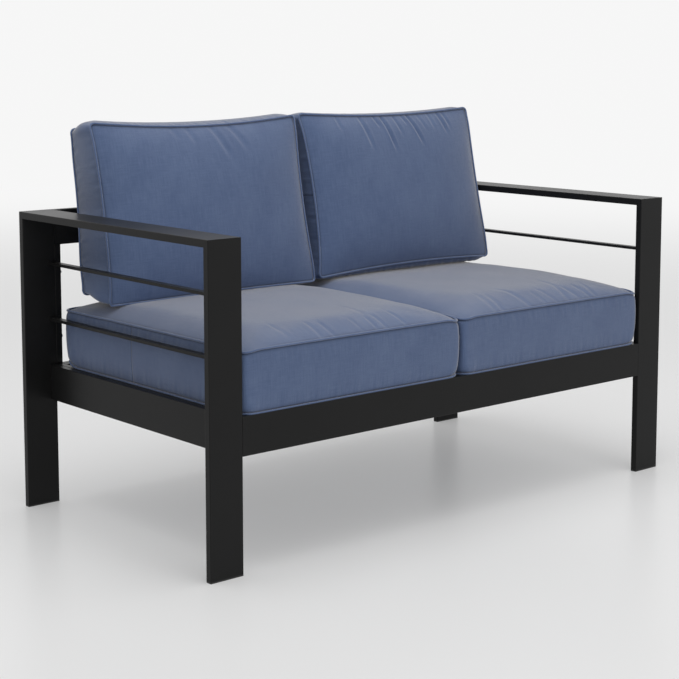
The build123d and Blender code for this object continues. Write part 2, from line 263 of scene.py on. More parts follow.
# %% [markdown]
# ## Powder coat
# The tubes are welded steel, and the black on them is a baked powder. Close up it has a very fine
# dimpled skin like an orange's, and its gloss is a little uneven. A flat black would look like
# plastic, because black paint is mostly what it reflects. So the base colour is very dark, and a
# group gives the skin: a height for the bump and a wandering roughness.

# %% Group: dimpled skin
group, given, made = new_group(
    "dimpled skin",
    [
        ("Place", "NodeSocketVector", None),
        ("Dimples per metre", "NodeSocketFloat", 700.0),
        ("Mean roughness", "NodeSocketFloat", 0.3),
        ("Roughness spread", "NodeSocketFloat", 0.06),
    ],
    [("Height", "NodeSocketFloat"), ("Roughness", "NodeSocketFloat"), ("Patches", "NodeSocketFloat")],
)
dimples = noise(group, given["Place"], given["Dimples per metre"], 2.0)
patches = noise(group, given["Place"], 9.0, 4.0)
wander = sum_of(group, "MULTIPLY", sum_of(group, "SUBTRACT", patches, 0.5), given["Roughness spread"])
group.links.new(dimples, made["Height"])
group.links.new(sum_of(group, "ADD", given["Mean roughness"], wander), made["Roughness"])
group.links.new(patches, made["Patches"])
dimpled_skin = group
print("group", group.name)

# %% [markdown]
# Outdoor furniture gathers a breath of dust on what faces up. It is hardly seen, but it parts the
# top of a tube from its side. The same group serves steel and cloth.

# %% Group: settled dust
group, given, made = new_group(
    "settled dust",
    [
        ("Place", "NodeSocketVector", None),
        ("Colour", "NodeSocketColor", (0.5, 0.5, 0.5, 1)),
        ("Dust colour", "NodeSocketColor", (0.5, 0.48, 0.45, 1)),
        ("Amount", "NodeSocketFloat", 0.03),
    ],
    [("Colour", "NodeSocketColor"), ("Mask", "NodeSocketFloat")],
)
normal = add(group, "ShaderNodeNewGeometry").outputs["Normal"]
facing = add(group, "ShaderNodeSeparateXYZ", {0: normal}).outputs["Z"]
upward = add(group, "ShaderNodeMapRange", {"Value": facing, "From Min": 0.3, "From Max": 1.0}).outputs[0]
clumps = noise(group, given["Place"], 26.0, 6.0)
mask = sum_of(group, "MULTIPLY", sum_of(group, "MULTIPLY", upward, clumps), given["Amount"])
group.links.new(blended(group, mask, given["Colour"], given["Dust colour"]), made["Colour"])
group.links.new(mask, made["Mask"])
settled_dust = group
print("group", group.name)

# %% [markdown]
# The powder coat itself joins the two groups: the skin gives its bump and gloss, and the dust
# settles on its tops. It reflects little, as a baked powder with a fine grain does.

# %% Black powder coat on every steel piece
powder_coat, tree, shader = new_material("black_powder_coat", Specular_IOR_Level=0.13)
place = object_place(tree)
skin = put_group(tree, dimpled_skin, {"Place": place, "Mean roughness": 0.35, "Roughness spread": 0.1})
tone = blended(tree, skin["Patches"], (0.0105, 0.0105, 0.0106, 1), (0.0135, 0.0135, 0.0136, 1))
dusty = put_group(tree, settled_dust, {"Place": place, "Colour": tone, "Amount": 0.006})
bump = add(tree, "ShaderNodeBump", {"Height": skin["Height"], "Strength": 0.06, "Distance": 0.0004})
tree.links.new(dusty["Colour"], shader.inputs["Base Color"])
tree.links.new(skin["Roughness"], shader.inputs["Roughness"])
tree.links.new(bump.outputs[0], shader.inputs["Normal"])

slots = {row["node"]: row["material_slot"] for row in frame["record"]["subparts"]}


def give(slot_name, material):
    """Put a material on every CAD node of one slot."""
    found = [node for node, slot in slots.items() if slot == slot_name]
    for node in found:
        mesh = frame["nodes"][node].data
        mesh.materials.clear()
        mesh.materials.append(material)
    print(slot_name, "on", len(found), "nodes")


give("frame_paint", powder_coat)

# %% [markdown]
# ## The cloth
# The covers are a plain woven outdoor cloth, dyed slate blue. From where the camera stands one
# sees no single threads, only faint streaks where a thread is thicker, called slubs. They run
# along the cloth. So the weave needs to know the cloth's own directions on each panel, and the
# cushions below carry a map of the cut panels, in metres, that the group reads.

# %% Group: slub weave
group, given, made = new_group(
    "slub weave",
    [
        ("Cloth place", "NodeSocketVector", None),
        ("Colour", "NodeSocketColor", (0.1, 0.1, 0.1, 1)),
        ("Thick thread", "NodeSocketColor", (0.2, 0.2, 0.2, 1)),
        ("Threads per metre", "NodeSocketFloat", 900.0),
        ("Streaks", "NodeSocketFloat", 0.5),
    ],
    [("Colour", "NodeSocketColor"), ("Height", "NodeSocketFloat")],
)
axes = add(group, "ShaderNodeSeparateXYZ", {0: given["Cloth place"]}).outputs


def thread_wave(tree, along, across, count):
    """The rise and fall of one set of threads, going over and under the other set."""
    turn = sum_of(tree, "MULTIPLY", sum_of(tree, "MULTIPLY", across, count), math.pi)
    rise = sum_of(tree, "ABSOLUTE", sum_of(tree, "SINE", turn))
    step = sum_of(tree, "MULTIPLY", sum_of(tree, "MULTIPLY", along, count), math.pi)
    return sum_of(tree, "MULTIPLY", rise, sum_of(tree, "ABSOLUTE", sum_of(tree, "COSINE", step)))


def streak_noise(tree, place, stretch, detail):
    """Noise drawn out along one direction, as thick threads are."""
    drawn = add(tree, "ShaderNodeMapping", {"Vector": place, "Scale": stretch}).outputs[0]
    return noise(tree, drawn, 1.0, detail)


warp = thread_wave(group, axes["Y"], axes["X"], given["Threads per metre"])
weft = thread_wave(group, axes["X"], axes["Y"], given["Threads per metre"])
threads = sum_of(group, "MAXIMUM", warp, weft)
warp_slubs = streak_noise(group, given["Cloth place"], (430, 26, 1), 3.0)
weft_slubs = streak_noise(group, given["Cloth place"], (30, 470, 1), 3.0)
soft_patches = streak_noise(group, given["Cloth place"], (16, 9, 1), 3.0)
warp_share = sum_of(group, "MULTIPLY", warp_slubs, 0.4)
weft_share = sum_of(group, "MULTIPLY", weft_slubs, 0.32)
patch_share = sum_of(group, "MULTIPLY", soft_patches, 0.28)
streaks = sum_of(group, "ADD", sum_of(group, "ADD", warp_share, weft_share), patch_share)
spread = add(group, "ShaderNodeMapRange", {"Value": streaks, "From Min": 0.4, "From Max": 0.6}).outputs[0]
share = sum_of(group, "MULTIPLY", spread, given["Streaks"])
yarn = blended(group, share, given["Colour"], given["Thick thread"])
# Painted shade: the colour is darker in the low places between the threads.
valley = sum_of(group, "ADD", 0.82, sum_of(group, "MULTIPLY", threads, 0.24))
shaded = dimmed(group, yarn, valley)
height = sum_of(group, "ADD", threads, sum_of(group, "MULTIPLY", streaks, 0.8))
group.links.new(shaded, made["Colour"])
group.links.new(height, made["Height"])
slub_weave = group
print("group", group.name)

# %% [markdown]
# Beside a piped seam the cloth turns into a narrow groove, where little light and some dust get
# in, so the cloth there is painted darker: painted shade, with some dust. Where the two ends of the
# boxing are joined, there is a seam without piping, painted darker along its line. Both are lines
# at a known distance from a point, so one group makes a mask and a groove from a distance.

# %% Group: painted seam shade
group, given, made = new_group(
    "seam shade line",
    [
        ("Distance", "NodeSocketFloat", 1.0),
        ("Width", "NodeSocketFloat", 0.002),
        ("Depth", "NodeSocketFloat", 1.0),
    ],
    [("Mask", "NodeSocketFloat"), ("Height", "NodeSocketFloat")],
)
reach = sum_of(group, "DIVIDE", given["Distance"], given["Width"])
falling = sum_of(group, "MULTIPLY", sum_of(group, "MULTIPLY", reach, reach), -1.0)
mask = sum_of(group, "POWER", 2.718, falling)
groove = sum_of(group, "MULTIPLY", sum_of(group, "MULTIPLY", mask, given["Depth"]), -1.0)
group.links.new(mask, made["Mask"])
group.links.new(groove, made["Height"])
seam_shade_group = group
print("group", group.name)

# %% [markdown]
# The cloth itself is matt, but its fine hairs catch light at a low angle, which is what the sheen
# The sheen is a little warm, as the tops of the seats turn grey rather than
# blue in the photograph. The two seam lines darken the cloth where they run: painted shade with
# some dust beside the piping, and a darker line along the joint.

# %% Slate blue cover cloth
CLOTH_MAP = "cloth_map"

# Painted shade with some dust beside the piping (no groove in its bump), and a darker line at the joint.
seam_shade_lines = [
    dict(attribute="seam_distance", width=4 * MM, depth=0.0, shade=0.5),
    dict(attribute="joint_distance", width=1.3 * MM, depth=6.0, shade=0.45),
]


def cover_cloth(name, colour, thick, streaks, bump_strength, has_seams):
    """Woven cloth: the weave group, a soft sheen, the settled dust and the shade in the seams."""
    material, tree, shader = new_material(
        name, Roughness=0.7, Specular_IOR_Level=0.25, Sheen_Weight=0.74, Sheen_Roughness=0.4
    )
    shader.inputs["Sheen Tint"].default_value = (1.0, 0.94, 0.84, 1)
    cloth_place = add(tree, "ShaderNodeUVMap", uv_map=CLOTH_MAP).outputs[0]
    yarn = {"Cloth place": cloth_place, "Colour": colour, "Thick thread": thick, "Streaks": streaks}
    weave = put_group(tree, slub_weave, yarn)
    dust = {"Place": object_place(tree), "Colour": weave["Colour"], "Amount": 0.08}
    dusty = put_group(tree, settled_dust, dust)
    base, height = dusty["Colour"], weave["Height"]
    for sewn in seam_shade_lines if has_seams else []:
        distance = add(tree, "ShaderNodeAttribute", attribute_name=sewn["attribute"]).outputs["Fac"]
        groove = {"Distance": distance, "Width": sewn["width"], "Depth": sewn["depth"]}
        line = put_group(tree, seam_shade_group, groove)
        # The cloth is darkened along each line: painted shade and dust beside the piping, a darker joint.
        light = sum_of(tree, "SUBTRACT", 1.0, sum_of(tree, "MULTIPLY", line["Mask"], sewn["shade"]))
        base = dimmed(tree, base, light)
        height = sum_of(tree, "ADD", height, line["Height"])
    weave_bump = {"Height": height, "Strength": bump_strength, "Distance": 0.4 * MM}
    bump = add(tree, "ShaderNodeBump", weave_bump)
    tree.links.new(base, shader.inputs["Base Color"])
    tree.links.new(bump.outputs[0], shader.inputs["Normal"])
    return material


slate_blue, slate_slub = (0.072, 0.111, 0.218, 1), (0.105, 0.151, 0.267, 1)
piping_blue, piping_slub = (0.084, 0.128, 0.248, 1), (0.12, 0.168, 0.295, 1)
slate_cloth = cover_cloth("slate_blue_cloth", slate_blue, slate_slub, 0.8, 0.35, True)
piping_cloth = cover_cloth("slate_blue_piping", piping_blue, piping_slub, 0.6, 0.3, False)
print("cloths", slate_cloth.name, piping_cloth.name)

# %% [markdown]
# ## Sewing a cushion
# A box cushion is a front panel, a rear panel and a strip of boxing between them. It could be
# carved from a cube, but then nothing would tell where its seams are. Here it is sewn as the real
# one is: two panels of small square patches, whose edges are joined by rows of patches. The seams
# are then known loops of points, which the piping can follow, and each patch knows its place on
# the flat cloth.

# %% Panel outline


def rounded_side(reach, depth, corner, pull, cells):
    """The lower side of a panel, from the middle of one round corner to the middle of the next."""
    first = np.radians(np.linspace(225, 270, 7))
    last = np.radians(np.linspace(270, 315, 7))
    t = np.linspace(-1, 1, 41)
    straight = np.stack([t * (reach - corner), pull * (1 - t * t) - depth], 1)
    left = np.stack([corner * np.cos(first) - reach + corner, corner * np.sin(first) - depth + corner], 1)
    right = np.stack([corner * np.cos(last) + reach - corner, corner * np.sin(last) - depth + corner], 1)
    line = np.concatenate([left[:-1], straight, right[1:]])
    length = np.concatenate([[0], np.cumsum(np.linalg.norm(np.diff(line, axis=0), axis=1))])
    at = np.linspace(0, length[-1], cells + 1)
    return np.stack([np.interp(at, length, line[:, 0]), np.interp(at, length, line[:, 1])], 1)


def panel_sides(width, height, corner, pulls, across, up):
    """The panel's edge as four runs of points, counter-clockwise from the lower left corner."""
    runs = []
    for turn in range(4):
        reach, depth, cells = ((width, height, across), (height, width, up))[turn % 2]
        line = rounded_side(reach / 2, depth / 2, corner, pulls[turn], cells)
        angle = math.pi / 2 * turn
        spin = np.array([[math.cos(angle), -math.sin(angle)], [math.sin(angle), math.cos(angle)]])
        runs.append(line @ spin.T)
    return runs


def loop_cells(across, up):
    """Row and column of each point on the panel's edge, counter-clockwise from the lower left corner."""
    bottom = [(0, i) for i in range(across)]
    right = [(j, across) for j in range(up)]
    top = [(up, across - i) for i in range(across)]
    left = [(up - j, 0) for j in range(up)]
    return np.array(bottom + right + top + left)


print("edge points of a 10 by 8 panel", len(loop_cells(10, 8)))

# %% [markdown]
# The inside of a panel is filled by blending its four edges, which is called a Coons patch. The
# edge isn't flat: sewing draws the seam in at each corner, and `tuck` says by how much.

# %% Panel surface


def panel_grid(spec, across, up):
    """Points of a panel in its own directions: right, up and out."""
    flat = panel_sides(spec["width"], spec["height"], spec["corner"], spec["pulls"], across, up)
    corners = np.array([run[0] for run in flat])
    runs = []
    for run in flat:
        out = np.zeros(len(run))
        for corner, tuck in zip(corners, spec["tucks"]):
            away = np.linalg.norm(run - corner, axis=1)
            out -= tuck * np.exp(-((away / spec["tuck_reach"]) ** 2))
        runs.append(np.column_stack([run, out]))
    bottom, right, top, left = runs[0], runs[1], runs[2][::-1], runs[3][::-1]
    s = np.linspace(0, 1, across + 1)[None, :, None]
    t = np.linspace(0, 1, up + 1)[:, None, None]
    grid = (1 - t) * bottom[None] + t * top[None] + (1 - s) * left[:, None] + s * right[:, None]
    shares = [(1 - s) * (1 - t), s * (1 - t), s * t, (1 - s) * t]
    ends = [bottom[0], bottom[-1], top[-1], top[0]]
    for share, end, nudge in zip(shares, ends, spec["nudges"]):
        grid = grid - share * end + share * np.array([nudge[0], nudge[1], 0])
    dome = (4 * s * (1 - s)) ** spec["fullness"] * (4 * t * (1 - t)) ** spec["fullness"]
    grid[:, :, 2] += spec["crown"] * dome[:, :, 0]
    return grid


def to_world(spec, points):
    """Turn a panel's own directions into the row frame."""
    right, up, out = (np.array(axis) for axis in spec["axes"])
    flat = points.reshape(-1, 3)
    return np.array(spec["centre"]) + flat[:, :1] * right + flat[:, 1:2] * up + flat[:, 2:] * out


print("panel tools ready")

# %% [markdown]
# Between the panels runs the boxing. On a soft cushion it isn't flat: it swells out between the
# two seams, most where the filling is loose. `swell` makes that first, so that the cloth
# simulation has only the small forms left to find. At the corners the cloth is drawn in at the
# seams and the filling pushes it out between them, so a cushion's upright edge stands proud.

# %% Boxing that swells between the seams


def outward_of(ring, out):
    """For each point of a seam loop, the direction away from the cushion, in the panel's plane."""
    along = np.roll(ring, -1, 0) - np.roll(ring, 1, 0)
    away = np.cross(along, np.array(out))
    return away / np.linalg.norm(away, axis=1)[:, None]


corner_softness = 7
corner_reach = 22 * MM


def side_values(values, across, up, softness):
    """One value for each of the four sides, carried smoothly round the corners."""
    ring = np.concatenate([np.full(n, v, float) for n, v in zip((across, up, across, up), values)])
    kernel = np.ones(softness) / softness
    padded = np.concatenate([ring[-softness:], ring, ring[:softness]])
    return np.convolve(padded, kernel, "same")[softness:-softness]


def swell(share, starts, fullness):
    """How far the boxing stands out at a share of its depth, starting beyond the zip if there is one."""
    return np.sin(math.pi * np.clip((share - starts) / (1 - starts), 0, 1)) ** fullness


def corner_share(ring, corners, reach):
    """1 at the corners of a seam loop, easing to 0 away from them."""
    away = np.min([np.linalg.norm(ring - ring[k], axis=1) for k in corners], axis=0)
    return np.exp(-((away / reach) ** 2))


print("corner softness", side_values([0, 1, 0, 0], 6, 4, 3).round(2))

# %% [markdown]
# `sew` puts the panels and the boxing together, and writes the cloth map as it goes. It also
# writes two distances on every point: how far it is from the nearest piped seam, and how far
# from the joint where the ends of the boxing meet. The cloth's material uses both. Where a
# point lies on the flat front panel is kept too, for the creases.

# %% Sew two panels and a boxing strip


def panel_faces(across, up, shift, flip):
    """The square patches of one panel."""
    quads = []
    for j in range(up):
        for i in range(across):
            a = j * (across + 1) + i + shift
            quad = [a, a + 1, a + across + 2, a + across + 1]
            quads.append(quad[::-1] if flip else quad)
    return quads


def cloth_mesh(name, points, faces, places, cloth):
    """A smooth mesh with a place on the cloth map for every corner of every face."""
    mesh = bpy.data.meshes.new(name)
    mesh.from_pydata(points.tolist(), [], faces)
    cloth_map = mesh.uv_layers.new(name=CLOTH_MAP)
    cloth_map.uv.foreach_set("vector", np.array(places, np.float32).ravel())
    mesh.polygons.foreach_set("use_smooth", [True] * len(faces))
    mesh.materials.append(cloth)
    return mesh


def put_attribute(mesh, name, values):
    """Write one number on each point of a mesh."""
    mesh.attributes.new(name, "FLOAT", "POINT").data.foreach_set("value", np.asarray(values, np.float32))


def sew(name, front, rear, bulges, joint, across, up, rows):
    """A closed cushion mesh with seam loops. Returns the object and what later steps need."""
    front_grid, rear_grid = panel_grid(front, across, up), panel_grid(rear, across, up)
    rear_grid[:, :, 2] *= -1
    front_points, rear_points = to_world(front, front_grid), to_world(rear, rear_grid)
    edge = loop_cells(across, up)
    count = (across + 1) * (up + 1)
    front_loop = edge[:, 0] * (across + 1) + edge[:, 1]
    away = outward_of(front_points[front_loop], front["axes"][2])
    amounts = side_values([amount for amount, start in bulges], across, up, corner_softness)
    starts = side_values([start for amount, start in bulges], across, up, corner_softness)
    corners = (0, across, across + up, 2 * across + up)
    amounts += front["corner_bulge"] * corner_share(front_points[front_loop], corners, corner_reach)
    points, loops = [front_points, rear_points], [front_loop + count]
    for row in range(1, rows):
        share = row / rows
        flat = (1 - share) * rear_points[front_loop] + share * front_points[front_loop]
        points.append(flat + away * (amounts * swell(share, starts, front["boxing_fullness"]))[:, None])
        loops.append(2 * count + (row - 1) * len(edge) + np.arange(len(edge)))
    loops.append(front_loop)
    points = np.concatenate(points)

    faces = panel_faces(across, up, 0, False) + panel_faces(across, up, count, True)
    front_flat = front_grid.reshape(-1, 3)[:, :2]
    rear_flat = rear_grid.reshape(-1, 3)[:, :2] + (1.3, 0)
    flat_places = np.concatenate([front_flat, rear_flat])
    places = [flat_places[k] for quad in faces for k in quad]
    ring = points[front_loop]
    along = np.concatenate([[0], np.cumsum(np.linalg.norm(np.diff(ring, axis=0, append=ring[:1]), axis=1))])
    depth = np.linalg.norm(points[front_loop] - points[front_loop + count], axis=1).mean()
    for row in range(rows):
        low, high = loops[row], loops[row + 1]
        v0, v1 = depth * row / rows + 2, depth * (row + 1) / rows + 2
        for k in range(len(edge)):
            n = (k + 1) % len(edge)
            faces.append([low[k], low[n], high[n], high[k]])
            places += [(along[k], v0), (along[k + 1], v0), (along[k + 1], v1), (along[k], v1)]

    mesh = cloth_mesh(name, points, faces, places, slate_cloth)

    i, j = np.meshgrid(np.arange(across + 1), np.arange(up + 1))
    from_sides = np.minimum(i, across - i) / across * front["width"]
    from_ends = np.minimum(j, up - j) / up * front["height"]
    inside = np.minimum(from_sides, from_ends)
    share = np.repeat(np.arange(1, rows) / rows, len(edge))
    seam = np.concatenate([inside.ravel(), inside.ravel(), np.minimum(share, 1 - share) * depth])
    from_joint = np.full(len(points), 1.0)
    joint_at = along[int(joint * len(edge))]
    for loop in loops:
        from_joint[loop] = np.abs(along[:-1] - joint_at)
    flat = np.zeros((len(points), 2))
    flat[:count] = flat_places[:count]
    put_attribute(mesh, "seam_distance", seam)
    put_attribute(mesh, "joint_distance", from_joint)
    put_attribute(mesh, "on_front", np.arange(len(points)) < count)
    put_attribute(mesh, "on_boxing", np.arange(len(points)) >= 2 * count)
    put_attribute(mesh, "flat_x", flat[:, 0])
    put_attribute(mesh, "flat_y", flat[:, 1])

    cushion = bpy.data.objects.new(name, mesh)
    bpy.context.scene.collection.objects.link(cushion)
    parts = {
        "front": np.arange(count),
        "rear": np.arange(count, 2 * count),
        "boxing": np.arange(2 * count, len(points)),
        "front_loop": front_loop,
        "rear_loop": front_loop + count,
        "grid": (across, up, rows),
        "flat": front_grid.reshape(-1, 3)[:, :2],
        "front_out": front["axes"][2],
        "rear_out": tuple(-x for x in rear["axes"][2]),
    }
    print(name, "patches", len(faces), "edge", len(edge))
    return cushion, points, parts


# %% [markdown]
# ## The cushions' sizes
# Both seat cushions lie on the slats and fill the space between the arms. The back cushions stand
# on them and lean on the top rail. The sizes are those of the CAD covers, a little smaller,
# because the filling will swell them. No two filled cushions lie the same, so each panel corner is
# nudged by a few millimetres, sideways and upward, as the photograph shows it.

# %% Seat cushions, sewn
piping_radius = 2.3 * MM
seam_inset = 2.6 * MM
cushions = {}


def millimetres(*pairs):
    """A list of (sideways, upward) pairs given in millimetres."""
    return [(x * MM, y * MM) for x, y in pairs]


lying = ((1, 0, 0), (0, 1, 0), (0, 0, 1))
unmoved = millimetres((0, 0), (0, 0), (0, 0), (0, 0))
seat_shared = dict(corner=22 * MM, tuck_reach=20 * MM, axes=lying, nudges=unmoved)
seat_cells = (84, 94, 17)
seat_joint = {"left": 0.845, "right": 0.4}
top_seam, bottom_seam = 121 * MM, 1.5 * MM
drawn_under = 2 * MM
lifted_corner = 11 * MM
seat_bulges = [(3 * MM, 0), (1.5 * MM, 0), (0, 0), (1.5 * MM, 0)]

for side in ("left", "right"):
    name = f"{side}_seat_cushion"
    low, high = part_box(f"{name}_cover")
    middle = ((low.x + high.x) / 2, (low.y + high.y) / 2)
    size = dict(width=high.x - low.x - 2 * seam_inset, height=high.y - low.y - 2 * seam_inset)
    top = dict(
        **size, **seat_shared, centre=(*middle, low.z + top_seam), crown=24 * MM, fullness=0.26,
        pulls=[1.5 * MM, 3 * MM, 0, 3 * MM], tucks=[4 * MM, 5 * MM, 2 * MM, 1 * MM],
        boxing_fullness=0.4, corner_bulge=7 * MM,
    )
    bottom = dict(
        width=size["width"] - 2 * drawn_under, height=size["height"] - 2 * drawn_under, **seat_shared,
        centre=(*middle, low.z + bottom_seam), crown=0.0, fullness=1.0,
        pulls=[1 * MM, 3 * MM, 0, 3 * MM], tucks=[1 * MM, 3 * MM, 3 * MM, 3 * MM],
    )
    if side == "left":
        bottom["tucks"][3] = lifted_corner
    cushions[name] = sew(name, top, bottom, seat_bulges, seat_joint[side], *seat_cells)

# %% Back cushions, sewn


def tilted(degrees):
    """Right, up and out of a panel that leans back."""
    a = math.radians(degrees)
    return ((1, 0, 0), (0, math.sin(a), math.cos(a)), (0, -math.cos(a), math.sin(a)))


back_cells = (80, 58, 15)
back_joint = {"left": 0.4, "right": 0.895}
front_centre, rear_centre = (173.0 * MM, 643.5 * MM), (273.0 * MM, 637.3 * MM)
front_shared = dict(
    height=381 * MM, corner=8 * MM, axes=tilted(11.4), crown=21 * MM, fullness=0.42,
    tuck_reach=30 * MM, tucks=[4 * MM] * 4, boxing_fullness=1, corner_bulge=0.0,
)
rear_shared = dict(
    height=351 * MM, corner=8 * MM, axes=tilted(8.6), crown=38 * MM, fullness=0.5,
    tuck_reach=46 * MM, tucks=[13 * MM, 13 * MM, 8 * MM, 8 * MM],
)
back_lies = {
    "left": dict(
        front=millimetres((2, -6), (5, -3), (5, -1), (6, -3)),
        front_pulls=[3 * MM, 9 * MM, 15 * MM, 7 * MM],
        rear=millimetres((-3, 0), (0, 0), (-4, 0), (9, 0)),
        rear_pulls=[0, 7 * MM, 7 * MM, 9 * MM],
        bulges=[(7 * MM, 0.35), (4 * MM, 0), (14 * MM, 0), (3 * MM, 0)],
    ),
    "right": dict(
        front=millimetres((6, 3), (9, 9), (0, 4), (4, 2)),
        front_pulls=[9 * MM, 5 * MM, 11 * MM, 12 * MM],
        rear=millimetres((3, 0), (3, 4), (0, 0), (4, 0)),
        rear_pulls=[0, 7 * MM, 7 * MM, 7 * MM],
        bulges=[(24 * MM, 0.42), (4 * MM, 0), (13 * MM, 0), (3 * MM, 0)],
    ),
}

for side, lie in back_lies.items():
    name = f"{side}_back_cushion"
    low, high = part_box(f"{name}_cover")
    middle_x, width = (low.x + high.x) / 2, high.x - low.x - 2 * seam_inset
    face = dict(
        **front_shared, width=width, centre=(middle_x, *front_centre), pulls=lie["front_pulls"],
        nudges=lie["front"],
    )
    back = dict(
        **rear_shared, width=width, centre=(middle_x, *rear_centre), pulls=lie["rear_pulls"],
        nudges=lie["rear"],
    )
    cushions[name] = sew(name, face, back, lie["bulges"], back_joint[side], *back_cells)

# %% [markdown]
# ## Filling the cushions
# A cloth simulation fills them as air would: pressure pushes every patch outward, the seams hold,
# and the cloth finds its own shape between them, with small puckers where it is slack. Gravity is
# off, because foam carries the cloth. How far a point may move is capped, so that no cushion
# grows out of the space that its CAD solid holds.

# %% Paint the weights


def paint(cushion, name, weights):
    """Make a vertex group from one weight for each point."""
    group = cushion.vertex_groups.new(name=name)
    steps = np.round(weights, 2)
    for value in np.unique(steps[steps > 0]):
        group.add(np.flatnonzero(steps == value).tolist(), float(value), "REPLACE")


zip_margin = 14 * MM


def near_zip(name, points):
    """1 for points of the boxing beside the zip, easing to 0 round it."""
    low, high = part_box(f"{name}_zip")
    axis = 2 if "seat" in name else 1
    from_tape = np.maximum(low[axis] - points[:, axis], points[:, axis] - high[axis])
    from_end = np.maximum(low.x - points[:, 0], points[:, 0] - high.x)
    return np.clip(1 - np.maximum(from_tape, from_end) / zip_margin, 0, 1)


def zip_side(name, points):
    """True for points on the side of the boxing that carries the zip."""
    low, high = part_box(f"{name}_zip")
    if "seat" in name:
        return points[:, 1] > low.y - 12 * MM
    return points[:, 2] < high.z + zip_margin


for name, (cushion, points, parts) in cushions.items():
    held = np.zeros(len(points))
    held[parts["front_loop"]] = 1
    held[parts["rear_loop"]] = 1
    if "seat" in name:
        held[parts["rear"]] = 1
    on_zip = near_zip(name, points) * zip_side(name, points)
    held[parts["boxing"]] = np.maximum(held[parts["boxing"]], on_zip[parts["boxing"]])
    paint(cushion, "held", held)
    slack = np.full(len(points), 0.4)
    slack[parts["boxing"]] = 0.3
    if "back" in name:
        upward = parts["flat"][:, 1] / (190 * MM)
        slack[parts["front"]] += np.clip(upward - 0.35, 0, 0.6)
    paint(cushion, "slack", slack)
    print(name, "held points", int((held > 0.99).sum()))

# %% [markdown]
# Each point starts where it was sewn, so twenty frames are enough. What the simulation gives is
# then held within a cap, and small steps on the panels are evened out.

# %% Fill them with the cloth simulation
frames = 20
air_pressure = 4.0
most_slack = -0.035
panel_may_move, boxing_may_move = 22 * MM, 6 * MM
even_turns = {"seat": 6, "back": 14}


def start_cloth(cushion):
    """Cloth under pressure, with its seams held."""
    cloth = cushion.modifiers.new("filling", "CLOTH")
    settings = cloth.settings
    settings.quality = 5
    settings.mass = 0.25
    settings.tension_stiffness = 18
    settings.compression_stiffness = 18
    settings.shear_stiffness = 6
    settings.bending_stiffness = 0.15
    settings.vertex_group_mass = "held"
    settings.vertex_group_shrink = "slack"
    settings.shrink_min = 0.0
    settings.shrink_max = most_slack
    settings.use_pressure = True
    settings.uniform_pressure_force = air_pressure
    settings.effector_weights.gravity = 0
    cloth.collision_settings.use_collision = False
    cloth.collision_settings.use_self_collision = False
    cloth.point_cache.frame_start = 1
    cloth.point_cache.frame_end = frames


def capped(moved, start, cap):
    """Hold each point within a distance of where it started, easing into the limit."""
    step = moved - start
    size = np.linalg.norm(step, axis=1)
    kept = cap * np.tanh(size / cap)
    return start + step * (kept / np.maximum(size, 1e-9))[:, None]


def relaxed(shape, parts, turns):
    """Even out the small steps of the front panel, most of all toward its corners."""
    across, up, rows = parts["grid"]
    i, j = np.meshgrid(np.linspace(-1, 1, across + 1), np.linspace(-1, 1, up + 1))
    share = (0.25 + 0.75 * (abs(i) * abs(j)) ** 2)[1:-1, 1:-1, None]
    grid = shape[parts["front"]].reshape(up + 1, across + 1, 3)
    for turn in range(turns):
        mean = (grid[:-2, 1:-1] + grid[2:, 1:-1] + grid[1:-1, :-2] + grid[1:-1, 2:]) / 4
        grid[1:-1, 1:-1] += share * (mean - grid[1:-1, 1:-1])
    shape[parts["front"]] = grid.reshape(-1, 3)
    return shape


filled = {name: points.copy() for name, (cushion, points, parts) in cushions.items()}
for cushion, points, parts in cushions.values():
    start_cloth(cushion)
for number in range(1, frames + 1):
    bpy.context.scene.frame_set(number)
depsgraph = bpy.context.evaluated_depsgraph_get()
for name, (cushion, points, parts) in cushions.items():
    moved = np.zeros(points.size)
    cushion.evaluated_get(depsgraph).data.vertices.foreach_get("co", moved)
    moved = moved.reshape(-1, 3)
    cap = np.full(len(points), panel_may_move)
    cap[parts["boxing"]] = boxing_may_move
    filled[name] = relaxed(capped(moved, points, cap), parts, even_turns[name.split("_")[1]])
    print(name, "largest move", round(float(np.linalg.norm(moved - points, axis=1).max()), 4))
for cushion, points, parts in cushions.values():
    cushion.modifiers.clear()
bpy.context.scene.frame_set(1)

# %% [markdown]
# ## Settling them in place
# Air knows nothing of neighbours, so the filled cushions are settled next. A seat cushion stays
# clear of the arm frames and of its twin, and the back cushions press its rear part flat.
# The boxing beside a zip is laid just under the tape.

# %% Keep clear of the frame and of each other


def ease_below(values, limit, softness):
    """Bend values that pass a limit back under it, smoothly."""
    over = values - (limit - softness)
    return np.where(over > 0, limit - softness + softness * np.tanh(over / softness), values)


def lay_zip(name, shape, parts):
    """Bring the boxing beside the zip to just under the tape."""
    low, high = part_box(f"{name}_zip")
    under = 1.5 * MM
    rows = parts["boxing"]
    strip = shape[rows]
    near = near_zip(name, strip) * zip_side(name, strip)
    near = near * near * (3 - 2 * near)
    if "seat" in name:
        strip[:, 1] += near * (high.y - under - strip[:, 1])
    else:
        slope = (high.z - low.z - 1.2 * MM) / (high.y - low.y)
        strip[:, 2] += near * (low.z + (strip[:, 1] - low.y) * slope + under - strip[:, 2])
    shape[rows] = strip


